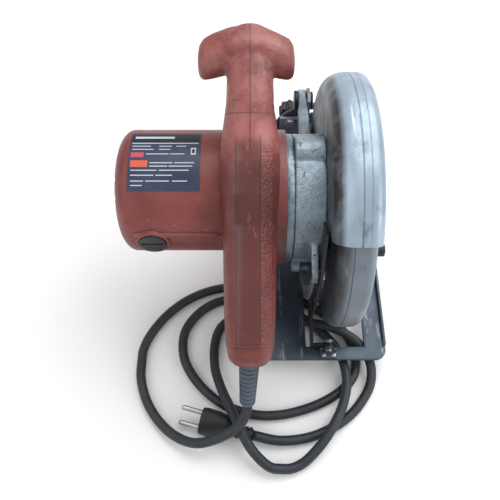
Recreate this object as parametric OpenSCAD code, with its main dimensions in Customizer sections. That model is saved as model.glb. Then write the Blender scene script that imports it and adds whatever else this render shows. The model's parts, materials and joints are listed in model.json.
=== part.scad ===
// Circular saw with the blade on the right and the motor on the left.
// X runs to the blade side, Y runs forward, Z runs up, in millimetres.
// The origin is under the middle of the saw, on the surface it stands on.

/* [Blade] */
// Radius of the blade
blade_r = 92; // [88:1:93]
// Thickness of the blade's plate
blade_t = 1.8; // [1.4:0.2:2.2]
// Number of teeth on the blade
blade_teeth = 24; // [16:4:40]
// Radius of the arbor where the blade sits
arbor_r = 7.94; // [7.5:0.02:8]

/* [Guards] */
// Outer radius of the fixed upper guard
upper_r = 103.5; // [102.5:0.5:106]
// Outer radius of the swinging lower guard, whose lowest point is what the saw stands on
lower_r = 98.5; // [97:0.5:98.5]
// Wall thickness of the guards
guard_t = 2.2; // [1.8:0.2:2.4]

/* [Motor] */
// Outer radius of the motor housing
motor_r = 46; // [45:0.5:46.5]
// Wall thickness of the motor housing
housing_t = 3; // [2.5:0.25:3.5]
// Number of cooling slots in the end of the housing
vent_count = 16; // [8:2:24]

/* [Shoe] */
// Height of the sole above the surface that the cord lies on
sole_z = 18; // [17.5:0.5:19]
// Thickness of the shoe's plate
shoe_t = 2.4; // [2:0.2:3]
// Front edge of the shoe
shoe_front = 157; // [150:1:165]
// Rear edge of the shoe
shoe_rear = -104; // [-108:1:-102]
// Left edge of the shoe
shoe_left = -12; // [-16:1:-8]
// Right edge of the shoe
shoe_right = 115; // [110:1:120]

/* [Handle] */
// Wall thickness of the handle's two halves
handle_wall = 3; // [2.5:0.25:3.5]

/* [Cord] */
// Diameter of the cord
cord_d = 8; // [7:0.5:8]

/* [Hidden] */
$fn = 64;

red = [0.62, 0.2, 0.17];
alloy = [0.72, 0.73, 0.74];
steel = [0.6, 0.61, 0.63];
black = [0.1, 0.1, 0.11];
slate = [0.25, 0.29, 0.34];
copper = [0.72, 0.42, 0.2];

// Arbor, motor and hinge axes, as [y, z] for axes along X.
arbor = [0, 98.5];
motor = [-5, 125];
pivot = [125, 88];
case_c = [-3, 112];
// Bevel axis, as [x, z] for an axis along Y.
bevel = [66, 25];
plate_top = sole_z + shoe_t;
blade_x = 72;
// Left face of the gear case, and left and right faces of the two guards.
case_l = 26;
guard_l = 55;
guard_rt = 88.6;
lower_l = 60;
lower_rt = 86;
// Left end of the motor housing, and how far its rounded end reaches along X and inward.
motor_end = -97.5;
dome = 12;
dome_in = 19;
// Radius of the depth arc about its hinge, and the angle of the bolt that runs in it.
arc_r = 195;
bolt_a = 6.5;

module placed() translate([-middle[0], -middle[1], 0]) children();

// A cylinder along X from x0 to x1 about c = [y, z].
module xcyl(r, x0, x1, c, fn = 64) translate([x0, c[0], c[1]]) rotate([0, 90, 0])
    cylinder(r = r, h = x1 - x0, $fn = fn);

module xtube(ro, ri, x0, x1, c) difference() {
    xcyl(ro, x0, x1, c);
    xcyl(ri, x0 - 1, x1 + 1, c);
}

// A cylinder along Y from y0 to y1 about c = [x, z].
module ycyl(r, y0, y1, c, fn = 48) translate([c[0], y0, c[1]]) rotate([-90, 0, 0])
    cylinder(r = r, h = y1 - y0, $fn = fn);

// Turns a profile of [radius, x] about the X axis through c, from angle a0 over sweep degrees.
// Angle 0 points to the rear, and angles grow upward.
module xturn(c, a0, sweep, fn = 96) translate([0, c[0], c[1]]) rotate([90, 0, 0])
    rotate([0, -90, 0]) rotate([0, 0, a0]) rotate_extrude(angle = sweep, $fn = fn)
        mirror([0, 1]) children();

// A flat outline in the Y-Z plane, from x0 to x1, with points as [y, z].
module slab(x0, x1) translate([x0, 0, 0]) rotate([90, 0, 90]) linear_extrude(x1 - x0) children();

// ---- Shoe ----
// Edges of the slot that the blade and guard go down through, with room for them tilted.
slot_l = 57.5;
slot_rt = 97;
slot_rear = -92;

module shoe_plate() color(slate) difference() {
    union() {
        translate([0, 0, sole_z]) linear_extrude(shoe_t) translate([shoe_left + 10, shoe_rear + 10])
            offset(r = 10) square([shoe_right - shoe_left - 20, shoe_front - shoe_rear - 20]);
        translate([shoe_right - 2.4, shoe_rear + 12, sole_z])
            cube([2.4, shoe_front - shoe_rear - 24, 7]);
        translate([shoe_left, shoe_rear + 12, sole_z]) cube([2.4, shoe_front - shoe_rear - 24, 5]);
    }
    translate([slot_l, slot_rear, sole_z - 1]) cube([slot_rt - slot_l, 105 - slot_rear, 12]);
    translate([47.5, slot_rear, sole_z - 1]) cube([11, 86 - slot_rear, 12]);
    translate([slot_rt - 22, 104, sole_z - 1]) cube([5, 60, 12]);
}

module bevel_quadrant() color(slate) {
    translate([30, 141, plate_top]) cube([40, 12, 1.6]);
    translate([bevel[0], 138, bevel[1]]) rotate([90, 0, 0]) mirror([0, 0, 1])
        linear_extrude(3) quadrant_outline();
}

module quadrant_outline() difference() {
    union() {
        intersection() {
            circle(r = 44);
            polygon([[8, 0], [8, 60], [-60, 60], [-60, 0]]);
        }
        translate([-46, plate_top - bevel[1]]) square([60, 5 - plate_top + bevel[1]]);
        circle(r = 8);
    }
    translate([-60, -20]) square([90, 20 + plate_top - bevel[1]]);
    circle(r = 3.05);
    for (a = [90:2.5:145]) rotate(a) translate([34, 0]) circle(r = 3.6, $fn = 24);
}

module rear_hinge_lug() color(slate) difference() {
    union() {
        ycyl(4.5, -97, -94.5, bevel);
        translate([bevel[0] - 7, -97, plate_top]) cube([14, 2.5, bevel[1] - plate_top]);
        translate([bevel[0] - 7, -103, plate_top]) cube([14, 8.5, 1.6]);
    }
    ycyl(3.05, -98, -90, bevel);
}

module shoe_rivets() color(steel) {
    for (x = [bevel[0] - 4.2, bevel[0] + 4.2]) translate([x, -100.4, plate_top + 1.6])
        intersection() {
            cylinder(r = 1.9, h = 1.3);
            translate([0, 0, -3.2]) sphere(r = 4.4);
        }
    for (x = [34, 50, 64]) translate([x, 147, plate_top + 1.6]) cylinder(r = 2.6, h = 1.4);
}

module fence_clamp_block() color(slate) difference() {
    translate([14, 142.4, plate_top]) cube([10.5, 12, 12]);
    translate([19.2, 148.4, plate_top + 4]) cylinder(r = 3.05, h = 20);
    translate([13, 145, plate_top + 1.2]) cube([14, 7, 2]);
}

module fence_clamp_screw() color(black) {
    translate([19.2, 148.4, plate_top + 4.2]) cylinder(r = 3, h = 13.8);
    translate([19.2, 148.4, plate_top + 12.2]) cylinder(r = 5.4, h = 4.4, $fn = 6);
    translate([19.2, 148.4, plate_top + 18]) rotate([0, 0, 170]) {
        translate([-4, -2.4, -0.1]) cube([22, 4.8, 3.2]);
        translate([17, -2.4, 0]) cube([3.4, 4.8, 11]);
    }
}

// ---- Bracket: pivots on the shoe to set the bevel ----
module front_bracket() color(alloy) difference() {
    union() {
        slab(52.6, 55.6) polygon([[115, 84], [116, 95], [125, 99], [134, 95], [137.8, 84],
            [137.8, 22], [128, 22], [120, 60]]);
        translate([30, 134.8, 31]) cube([25.6, 3, 22]);
        translate([55, 134.8, 21.4]) cube([11, 3, 22]);
        ycyl(4.5, 134.8, 137.8, bevel);
    }
    ycyl(3.05, 130, 140, bevel);
    ycyl(3.05, 130, 140, [40, 47]);
    xcyl(5.05, 50, 58, pivot);
}

function arc_pt(r, a) = [pivot[0] - r * cos(a), pivot[1] + r * sin(a)];

module depth_arc() color(black) difference() {
    union() {
        slab(50.8, 53.2) polygon(concat(
            [for (a = [-20:2:20]) arc_pt(arc_r + 8, a)], [for (a = [20:-2:-20]) arc_pt(arc_r - 8, a)]));
        slab(50.8, 53.2) polygon([[-52, 22], [-94.3, 22], [-94.3, 28.6], [-60, 40]]);
        translate([50.8, -94.3, 22]) cube([13, 2.5, 6.6]);
        ycyl(4.3, -94.3, -91.8, bevel);
    }
    ycyl(3.05, -99, -90, bevel);
    slab(50, 54) polygon(concat(
        [for (a = [-12:1:15]) arc_pt(arc_r + 3.3, a)], [for (a = [15:-1:-12]) arc_pt(arc_r - 3.3, a)]));
}

module bevel_pins() color(steel) {
    ycyl(3, -99, -90.4, bevel);
    ycyl(4.6, -90.6, -89.4, bevel);
    ycyl(3, 133, 142.6, bevel);
    ycyl(4.5, 131.8, 133.2, bevel);
}

module bevel_bolt() color(steel) {
    ycyl(3, 131, 152, [40, 47]);
    translate([40, 131.4, 47]) rotate([-90, 0, 0]) cylinder(r = 5.6, h = 3.3, $fn = 6);
}

module bevel_knob() color(black) difference() {
    union() {
        ycyl(6, 141.3, 146, [40, 47]);
        ycyl(9, 145, 156, [40, 47]);
        for (a = [0:45:315]) translate([40 + 8.4 * cos(a), 145, 47 + 8.4 * sin(a)])
            rotate([-90, 0, 0]) cylinder(r = 2.2, h = 11, $fn = 20);
    }
    ycyl(3.02, 140, 153, [40, 47]);
}

// ---- Motor ----
// Half section of a can along X, as [radius, x], with its end rounded over corner and corner_in.
module motor_profile(r, x_end, corner, corner_in) {
    polygon(concat([[0, x_end]], [for (a = [0:9:90]) [r - corner_in + corner_in * sin(a),
        x_end + corner - corner * cos(a)]], [[r, case_l], [0, case_l]]));
}

module motor_housing() color(red) difference() {
    union() {
        xturn(motor, 0, 360) motor_profile(motor_r, motor_end, dome, dome_in);
        xcyl(52, 14, case_l, case_c, 96);
        for (s = [-1, 1]) translate([0, motor[0] + s * (motor_r - 1.5), motor[1] + 9])
            translate([-84, -2.5, -1.6]) cube([61, 5, 3.2]);
        ycyl(12.5, motor[0] - motor_r - 1.2, motor[0], [-71, motor[1]]);
        ycyl(12.5, motor[0], motor[0] + motor_r + 1.2, [-71, motor[1]]);
    }
    xturn(motor, 0, 360) motor_profile(motor_r - housing_t, motor_end + housing_t, dome - housing_t,
        dome_in - housing_t);
    xcyl(motor_r - housing_t, case_l - 3, case_l + 1, motor);
    ycyl(8.05, -70, 60, [-71, motor[1]]);
    ycyl(10.4, motor[0] - motor_r - 4, motor[0] - motor_r + 0.6, [-71, motor[1]]);
    ycyl(10.4, motor[0] + motor_r - 0.6, motor[0] + motor_r + 4, [-71, motor[1]]);
    for (i = [0:vent_count - 1]) translate([motor_end - 1, motor[0], motor[1]])
        rotate([i * 360 / vent_count, 0, 0]) translate([0, -1.6, 22]) cube([9, 3.2, 15]);
}

module rating_label() color([0.1, 0.12, 0.2]) xturn(motor, 54, 63)
    translate([motor_r + 0.05, -85]) square([0.5, 50]);

module brush_caps() color(black) for (s = [-1, 1]) translate([-71, motor[0], motor[1]])
    rotate([-90 * s, 0, 0]) difference() {
        translate([0, 0, motor_r - 0.5]) cylinder(r = 10, h = 2.6);
        translate([-8, -1, motor_r + 1.1]) cube([16, 2, 2]);
    }

module brush_holders() color(copper) for (s = [-1, 1]) translate([-71, motor[0], motor[1]])
    rotate([-90 * s, 0, 0]) difference() {
        translate([0, 0, 20]) cylinder(r = 8, h = 25.4);
        translate([-3.3, -4.3, 19]) cube([6.6, 8.6, 30]);
    }

module carbon_brushes() color([0.16, 0.16, 0.17]) for (s = [-1, 1])
    translate([-71, motor[0], motor[1]]) rotate([-90 * s, 0, 0])
        translate([-3.2, -4.2, 14.3]) cube([6.4, 8.4, 22]);

module stator_core() color(steel) difference() {
    xcyl(42.8, -54, -2, motor);
    xcyl(27, -56, 0, motor);
    for (a = [45, 225]) translate([-60, motor[0], motor[1]]) rotate([a, 0, 0])
        translate([0, -13, 24]) cube([70, 26, 12]);
}

module field_windings() color(copper) for (a = [45, 225]) translate([-59, motor[0], motor[1]])
    rotate([a, 0, 0]) translate([0, -12, 27.8]) cube([62, 24, 8]);

module motor_bearings() color(steel) {
    xtube(11, 5.02, -94.4, -87, motor);
    xtube(13, 5.02, 26.1, 33.4, motor);
}

pinion_teeth = 9;
gear_teeth = 35;
pitch_r_pinion = 5.52;
pitch_r_gear = 21.45;

// Straight teeth with room to spare, phase in degrees from the upward direction.
module toothed(r_pitch, teeth, add, ded, phase) {
    circle(r = r_pitch - ded, $fn = 72);
    step = 360 / teeth;
    for (i = [0:teeth - 1]) rotate(phase + i * step) polygon([
        [-r_pitch * sin(step * 0.24), r_pitch - ded - 0.4],
        [r_pitch * sin(step * 0.24), r_pitch - ded - 0.4],
        [r_pitch * sin(step * 0.12), r_pitch + add],
        [-r_pitch * sin(step * 0.12), r_pitch + add]]);
}

// Direction of the line from the arbor to the motor, measured in the gears' own plane.
mesh_a = atan2(-(motor[0] - arbor[0]), motor[1] - arbor[1]);

module armature_shaft() color(steel) {
    xcyl(5, -94, 39, motor);
    slab(38.5, 50) translate(motor)
        toothed(pitch_r_pinion, pinion_teeth, 1.0, 1.3, mesh_a + 180 + 180 / pinion_teeth);
}

module armature_core() color(steel) difference() {
    xcyl(25.5, -52, -4, motor);
    xcyl(5.01, -53, -3, motor);
    for (i = [0:11]) translate([-53, motor[0], motor[1]]) rotate([i * 30, 0, 0])
        translate([0, -1.4, 16]) cube([50, 2.8, 12]);
}

module commutator() color(copper) difference() {
    xcyl(14, -80, -62, motor);
    xcyl(5.01, -81, -61, motor);
    for (i = [0:17]) translate([-81, motor[0], motor[1]]) rotate([i * 20, 0, 0])
        translate([0, -0.4, 12.6]) cube([20, 0.8, 3]);
}

module cooling_fan() color(black) difference() {
    union() {
        xcyl(10, 6, 20, motor);
        xcyl(38, 6, 8.4, motor);
        for (i = [0:11]) translate([8, motor[0], motor[1]]) rotate([i * 30, 0, 0])
            translate([0, -1, 9]) cube([11, 2, 28]);
    }
    xcyl(5.01, 5, 21, motor);
}

// ---- Gear case and arbor ----
module gear_case() color(alloy) difference() {
    union() {
        xcyl(50, case_l + 6.1, guard_l, case_c, 96);
        xcyl(13, case_l + 6.1, guard_l, [6, 155], 48);
        xcyl(8, case_l + 6.1, guard_l, [-49, 92], 48);
        xcyl(22, guard_l - 1, 65.5, arbor);
        slab(44.6, 52.2) polygon([[30, 70], [112, 81], [134, 82], [134, 94], [112, 96], [40, 118]]);
        slab(44.6, 50.4) polygon([[-40, 96], [-75, 104], [-75, 117], [-40, 128]]);
    }
    xcyl(44, case_l, guard_l - 5, case_c);
    xcyl(16.02, guard_l - 7, 66, arbor);
    xcyl(5.05, 40, 58, pivot);
    xcyl(3.05, 40, 58, arc_pt(arc_r, bolt_a));
    slab(44, 52.8) translate([122, 74]) square([30, 4]);
}

module bearing_plate() color(alloy) difference() {
    xcyl(50, case_l + 0.1, case_l + 6, case_c, 96);
    xcyl(13.01, case_l - 1, case_l + 8, motor);
    xcyl(9.02, case_l - 1, case_l + 8, arbor);
}

module gear_case_screws() color(steel) for (p = [[34, 140], [-34, 84], [33, 80]])
    xcyl(3.6, guard_l + guard_t, guard_l + guard_t + 1.9, p, 24);

module arbor_bearing() color(steel) xtube(16, 8.02, 52, 65, arbor);

module arbor_bush() color(copper) xtube(9, 7.04, case_l + 0.5, case_l + 6, arbor);

module arbor_shaft() color(steel) difference() {
    union() {
        xcyl(7, case_l + 0.6, 40, arbor);
        xcyl(8, 40, 66, arbor);
        xcyl(arbor_r, 66, 75.5, arbor);
    }
    xcyl(4.02, 58, 80, arbor);
}

module drive_gear() color(steel) difference() {
    slab(39.5, 49) translate(arbor) toothed(pitch_r_gear, gear_teeth, 1.0, 1.3, mesh_a);
    xcyl(8.01, 38, 50, arbor);
}

module inner_flange() color(steel) xtube(17, arbor_r + 0.02, 66.1, blade_x - blade_t / 2, arbor);

module blade() color([0.66, 0.66, 0.66]) {
    x0 = blade_x - blade_t / 2;
    step = 360 / blade_teeth;
    difference() {
        slab(x0, x0 + blade_t) translate(arbor) difference() {
            union() {
                circle(r = blade_r - 8, $fn = 120);
                for (i = [0:blade_teeth - 1]) rotate(i * step) polygon([[-1, blade_r - 9],
                    [-11, blade_r - 9], [-10.5, blade_r - 7], [-1.5, blade_r - 0.3], [0.6, blade_r]]);
            }
            for (i = [0:3]) rotate(i * 90 + 20) translate([0, blade_r - 12]) circle(r = 2, $fn = 20);
        }
        xcyl(arbor_r + 0.02, x0 - 1, x0 + 4, arbor);
    }
}

module outer_flange() color(steel) difference() {
    xcyl(17, blade_x + blade_t / 2, 76.4, arbor);
    xcyl(arbor_r + 0.02, 70, 75.6, arbor);
    xcyl(4.02, 70, 80, arbor);
}

module blade_bolt() color(steel) {
    xcyl(4, 60, 77, arbor);
    xcyl(9.5, 76.4, 77.8, arbor);
    translate([77.6, arbor[0], arbor[1]]) rotate([0, 90, 0]) cylinder(r = 7.4, h = 5, $fn = 6);
}

// ---- Guards ----
// Section of a guard: an open channel, as [radius, x], with rounded shoulders.
function arc2(c, r, a0, a1, n) = [for (i = [0:n]) let (a = a0 + (a1 - a0) * i / n)
    [c[0] + r * cos(a), c[1] + r * sin(a)]];
function channel(r, xl, xr, cl, cr, foot_l, foot_r) = concat([[foot_l, xl]],
    arc2([r - cl, xl + cl], cl, -90, 0, 8), arc2([r - cr, xr - cr], cr, 0, 90, 8), [[foot_r, xr]]);
module guard_section(r, xl, xr, cl, cr, foot_l, foot_r) {
    outer = channel(r, xl, xr, cl, cr, foot_l, foot_r);
    inner = channel(r - guard_t, xl + guard_t, xr - guard_t, cl - guard_t, cr - guard_t,
        foot_l, foot_r);
    polygon(concat(outer, [for (i = [len(inner) - 1:-1:0]) inner[i]]));
}

module upper_guard() color(alloy) {
    xturn(arbor, 40, 160, 120) guard_section(upper_r, guard_l, guard_rt, 13, 8, 38, 56);
    xturn(arbor, 41, 4, 120) translate([upper_r - 1, 70]) square([2.6, 9]);
    xtube(41, 26, guard_l + 0.1, guard_l + guard_t - 0.1, arbor);
}

module lower_guard() color([0.7, 0.71, 0.73]) union() {
    xturn(arbor, -165, 213, 120)
        guard_section(lower_r, lower_l, lower_rt, 9, 9, 40, 40);
    difference() {
        xcyl(41, lower_l, lower_l + guard_t, arbor);
        xcyl(22.06, 50, 70, arbor);
    }
    difference() {
        xcyl(25.5, lower_l, lower_l + 4.6, arbor);
        xcyl(22.06, 50, 70, arbor);
    }
}

module guard_lever() color(black) {
    c = [arbor[0] - 48 * cos(10), arbor[1] + 48 * sin(10)];
    xcyl(6, lower_rt, lower_rt + 3, c, 32);
    xcyl(3, lower_rt, lower_rt + 14, c, 32);
    xcyl(5, lower_rt + 9, lower_rt + 16, c, 32);
}

module guard_spring() color(steel) for (x = [56.6, 58.6]) xturn(arbor, 0, 360, 72)
    translate([24, x]) circle(r = 0.9, $fn = 16);

module pivot_screw() color(black) {
    xcyl(5, 43.6, 57, pivot);
    xcyl(9, 41, 44.5, pivot, 32);
    xcyl(8, 55.7, 58.2, pivot, 32);
}

module depth_bolt() color(steel) {
    p = arc_pt(arc_r, bolt_a);
    xcyl(3, 38, 54, p);
    xcyl(6, 53.3, 54.6, p, 32);
}

module depth_lever() color(black) {
    p = arc_pt(arc_r, bolt_a);
    difference() {
        union() {
            xcyl(8, 37, 44.5, p, 40);
            slab(37, 41) polygon([[p[0] - 6, p[1] - 4], [p[0] - 2, p[1] + 8],
                [p[0] - 22, p[1] + 24], [p[0] - 30, p[1] + 20]]);
        }
        xcyl(3.02, 36, 46, p);
    }
}

// ---- Handle ----
// Stations along the handle from front to rear: [y, z, tilt of the top to the rear, half
// width, half height]. The shell is a smooth loft through them.
stations = [[66, 218, 20, 6, 7], [64, 217, 20, 11, 11], [55, 213.5, 22, 15.5, 14.5],
    [36, 205.5, 23, 16, 15], [16.5, 197, 24, 16.4, 15.6], [0, 186, 28, 19, 18],
    [-16.6, 175.6, 35, 21, 20], [-32, 160, 39, 20.5, 20], [-44.8, 143.4, 40, 19.5, 19],
    [-65, 130, 36, 19.2, 18.5], [-86, 116, 34, 18.8, 18], [-104, 104.5, 34, 18.4, 17.4],
    [-118, 95.8, 34, 17.6, 16.4], [-127, 90.2, 34, 15.5, 14], [-131, 87.4, 34, 11, 9.5]];
// Stations across the front bar: [x, y, z, half depth, half height].
bar_stations = [[-36, 45, 206, 5, 5], [-35, 45.5, 207, 10, 10], [-32, 46.5, 208, 13.4, 12.6],
    [-26, 48, 209.5, 14.6, 13.6], [-14, 50.5, 212, 15.2, 14.2], [-2, 51.5, 213, 15.6, 14.6],
    [10, 50.5, 212, 15.2, 14.2], [20, 48, 209.5, 14.6, 13.6], [27, 46.5, 208, 13.4, 12.6],
    [30, 45.5, 207, 10, 10], [31, 45, 206, 5, 5]];

// Middle of the saw without its cord, which is moved to the origin.
grip_end = stations[len(stations) - 1];
middle = [(motor_end + shoe_right) / 2,
    (shoe_front + grip_end[0] - grip_end[4] * sin(grip_end[2])) / 2];

function power(v, e) = sign(v) * pow(abs(v), e);
function oval(a, b, k) = [for (i = [0:k - 1]) let (t = 360 * i / k)
    [a * power(cos(t), 0.8), b * power(sin(t), 0.8)]];
function grip_ring(s, shrink, k) = [for (p = oval(s[3] - shrink, s[4] - shrink, k))
    [p[0], s[0] - p[1] * sin(s[2]), s[1] + p[1] * cos(s[2])]];
function bar_ring(s, shrink, k) = [for (p = oval(s[3] - shrink, s[4] - shrink, k))
    [s[0], s[1] + p[0], s[2] + p[1]]];

// A closed skin over equal rings of points.
module loft(rings) {
    k = len(rings[0]);
    n = len(rings);
    polyhedron(
        points = [for (r = rings) for (p = r) p],
        faces = concat([[for (i = [0:k - 1]) i]],
            [for (j = [0:n - 2]) for (i = [0:k - 1])
                [j * k + i, (j + 1) * k + i, (j + 1) * k + (i + 1) % k, j * k + (i + 1) % k]],
            [[for (i = [k - 1:-1:0]) (n - 1) * k + i]]),
        convexity = 8);
}

grip_k = 28;
// The inner face leaves the wall, over the part of the grip that holds the switch.
module handle_solid() difference() {
    union() {
        loft([for (s = stations) grip_ring(s, 0, grip_k)]);
        loft([for (s = bar_stations) bar_ring(s, 0, 24)]);
    }
    loft([for (i = [8:12]) grip_ring(stations[i], handle_wall, 20)]);
    xcyl(motor_r + 0.1, -60, 60, motor, 96);
    xcyl(52.1, 13.8, 60, case_c, 96);
    translate(relief_top) rotate([relief_tilt, 0, 0]) translate([0, 0, -50])
        cylinder(r = 8.3, h = 50.5);
    trigger_space();
    for (p = screw_spots) {
        xcyl(2.05, -15, 30, p, 24);
        xcyl(3.6, 12.6, 30, p, 24);
    }
}
screw_spots = [[12, 195], [-56, 137], [-112, 99]];
// Middle of the trigger, as [y, z], and the slope of its slide.
trigger_c = [-84, 108];
trigger_tilt = 34;

// Puts a shape in the sloping grip, with its origin at the trigger and Z along the slide.
module in_grip() translate([0, trigger_c[0], trigger_c[1]]) rotate([trigger_tilt, 0, 0]) children();

// The space that the trigger slides in.
module trigger_space() in_grip() translate([-6.8, -15, -22]) cube([13.6, 30, 30]);

// The halves are smooth skins with no fitted bores, so each is kept as one faceted mesh.
module one_skin() resize([0, 0, 0]) children();

module handle_left() color(red) one_skin() intersection() {
    handle_solid();
    translate([-60, -200, 0]) cube([60, 400, 300]);
}

module handle_right() color(red) one_skin() intersection() {
    handle_solid();
    translate([0, -200, 0]) cube([60, 400, 300]);
}

module handle_screws() color(black) for (p = screw_spots) {
    xcyl(2, -12, 13, p, 24);
    xcyl(3.5, 12.7, 14.6, p, 24);
}

module trigger() color(black) in_grip() translate([-6, 0, 0]) rotate([90, 0, 90])
    linear_extrude(12) polygon(concat([[-13, -3], [-14, -18]], arc2([1, -36], 19, 120, 50, 8),
        [[14, -20], [13, -3]]));

module switch_body() color(black) in_grip() translate([-9, -16, 9]) cube([18, 32, 12]);

module trigger_spring() color(steel) in_grip() for (z = [-2, 0.2, 2.4, 4.6, 6.8])
    translate([0, 0, z]) rotate_extrude($fn = 24) translate([3.4, 0]) circle(r = 0.5, $fn = 12);

module switch_leads() color([0.2, 0.25, 0.5]) in_grip() for (x = [-5.5, 5.5])
    translate([x, -22.5, 12.5]) rotate([-90, 0, 0]) cylinder(r = 1.4, h = 6.4, $fn = 24);

module cord_clamp() color(black) in_grip() translate([-9, -28.7, 11.1]) cube([18, 6, 3]);

// ---- Cord ----
relief_top = [0, -122, 98];
relief_tip = [-2, -148, 50];
relief_tilt = atan2(relief_tip[1] - relief_top[1], relief_top[2] - relief_tip[2]);
// A stretch from p to q that tapers from radius r0 to r1.
module rod(p, q, r0, r1, fn = 24) {
    d = q - p;
    translate(p) rotate([0, acos(d[2] / norm(d)), atan2(d[1], d[0])])
        cylinder(r1 = r0, r2 = r1, h = norm(d), $fn = fn);
}

module strain_relief() color(black) difference() {
    union() {
        intersection() {
            rod(relief_top, relief_tip, 7.6, 5.4);
            translate([-50, -200, -10]) cube([100, 200, 100]);
        }
        for (t = [0.3:0.08:0.95]) let (p = relief_top + (relief_tip - relief_top) * t)
            rod(p, p + (relief_tip - relief_top) * 0.03, 8.1 - 2.2 * t, 8.1 - 2.2 * t);
    }
    rod(relief_top, relief_tip + (relief_tip - relief_top) * 0.05, 4.05, 4.05);
}

// The cord's way from the strain relief to the plug, as [x, y, z]. It makes three loose loops
// that pass under the shoe, and rises where it crosses itself or the plug.
route = [relief_tip, [-3, -153.5, 39.5], [-9, -161, 30.5], [-23, -168, 23.5], [-42, -171, 15.5],
    [-60, -164, 8], [-76, -150, 4.6], [-88, -131, 4], [-94, -108, 4], [-92, -84, 4],
    [-79, -61, 4], [-60, -43, 4], [-38, -32, 4], [-16, -28, 4], [8, -29, 4], [30, -34, 4],
    [50, -44, 4], [69, -56, 4], [83, -71, 4], [91, -89, 4], [91, -106, 4], [83, -120, 4],
    [67, -132, 4], [46, -141, 4], [23, -146, 4], [0, -145, 4], [-24, -136, 4], [-44, -119, 4],
    [-57, -97, 4], [-58, -73, 4], [-46, -54, 4], [-29, -43, 4], [-9, -40, 4], [12, -43, 4],
    [32, -50, 4], [49, -60, 4], [64, -73, 4], [75, -88, 6.5], [80, -104, 10.5],
    [81, -121, 12.4], [77, -138, 12.5], [69, -154, 12.8], [56, -172, 10.5], [39, -186, 5],
    [19, -189, 8], [3, -178, 15.4], [-8, -161, 21.2], [-16, -144, 19.6], [-24, -126, 14],
    [-30, -106, 7], [-31, -85, 4], [-26, -68, 4], [-12, -58, 4], [8, -57, 4], [29, -61, 6.8],
    [47, -65, 11], [64, -69, 11.9], [82, -76, 11.9], [96, -88, 11.9], [103, -104, 10],
    [102, -120, 6], [94, -134, 4], [83, -146, 4], [68, -156, 4], [48, -164, 4], [24, -167, 6],
    [2, -163.5, 9.5]];
plug_tail = route[len(route) - 1];
plug_face = [-42, -151.5, 12];
cord_sides = 10;

function unit(v) = v / norm(v);
function along(i) = unit(route[min(i + 1, len(route) - 1)] - route[max(i - 1, 0)]);
function cord_ring(i) = let (d = along(i), side = unit(cross(abs(d[2]) > 0.9 ? [1, 0, 0] : [0, 0, 1], d)),
    up = cross(d, side)) [for (k = [0:cord_sides - 1]) let (a = 90 + 360 * k / cord_sides)
        route[i] + cord_d / 2 * (cos(a) * side + sin(a) * up)];

module power_cord() color(slate) loft([for (i = [0:len(route) - 1]) cord_ring(i)]);

// Puts a shape made along Z on the plug's axis, with its wide side turned half up.
module on_plug() {
    d = plug_face - plug_tail;
    translate(plug_tail) rotate([0, acos(d[2] / norm(d)), atan2(d[1], d[0])]) rotate([0, 0, 40])
        children();
}

module plug_relief() color(black) on_plug() difference() {
    union() {
        translate([0, 0, 0.2]) cylinder(r1 = 4.9, r2 = 5.6, h = 14.6, $fn = 32);
        for (z = [1.5:3.2:12]) translate([0, 0, z]) cylinder(r = 6, h = 1.5, $fn = 32);
    }
    translate([0, 0, -1]) cylinder(r = 1.2, h = 20);
}

module plug_body() color(black) on_plug() loft([for (s = [[14.8, 5, 5], [17, 7.6, 6.2],
    [23, 10.5, 7], [31, 12, 7.4], [40, 12, 7.4], [43, 11.6, 7], [43.8, 10.6, 6]])
        [for (p = oval(s[1], s[2], 24)) [p[0], p[1], s[0]]]]);

module plug_pins() color(steel) on_plug() for (x = [-7.5, 7.5]) translate([x, 0, 0]) {
    translate([0, 0, 43.8]) cylinder(r = 2, h = 15.6);
    translate([0, 0, 59.4]) cylinder(r1 = 2, r2 = 1.2, h = 1.6);
}

placed() shoe_plate();
placed() bevel_quadrant();
placed() rear_hinge_lug();
placed() shoe_rivets();
placed() fence_clamp_block();
placed() fence_clamp_screw();
placed() front_bracket();
placed() depth_arc();
placed() bevel_pins();
placed() bevel_knob();
placed() bevel_bolt();
placed() motor_housing();
placed() rating_label();
placed() brush_caps();
placed() brush_holders();
placed() carbon_brushes();
placed() stator_core();
placed() field_windings();
placed() motor_bearings();
placed() armature_shaft();
placed() armature_core();
placed() commutator();
placed() cooling_fan();
placed() gear_case();
placed() bearing_plate();
placed() gear_case_screws();
placed() arbor_bearing();
placed() arbor_bush();
placed() arbor_shaft();
placed() drive_gear();
placed() inner_flange();
placed() blade();
placed() outer_flange();
placed() blade_bolt();
placed() upper_guard();
placed() lower_guard();
placed() guard_lever();
placed() guard_spring();
placed() pivot_screw();
placed() depth_bolt();
placed() depth_lever();
placed() handle_left();
placed() handle_right();
placed() handle_screws();
placed() trigger();
placed() trigger_spring();
placed() switch_body();
placed() switch_leads();
placed() cord_clamp();
placed() strain_relief();
placed() power_cord();
placed() plug_body();
placed() plug_pins();
placed() plug_relief();
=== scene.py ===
"""Circular saw: smooth shells, worn materials, label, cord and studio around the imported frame."""
import json
import math

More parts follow.
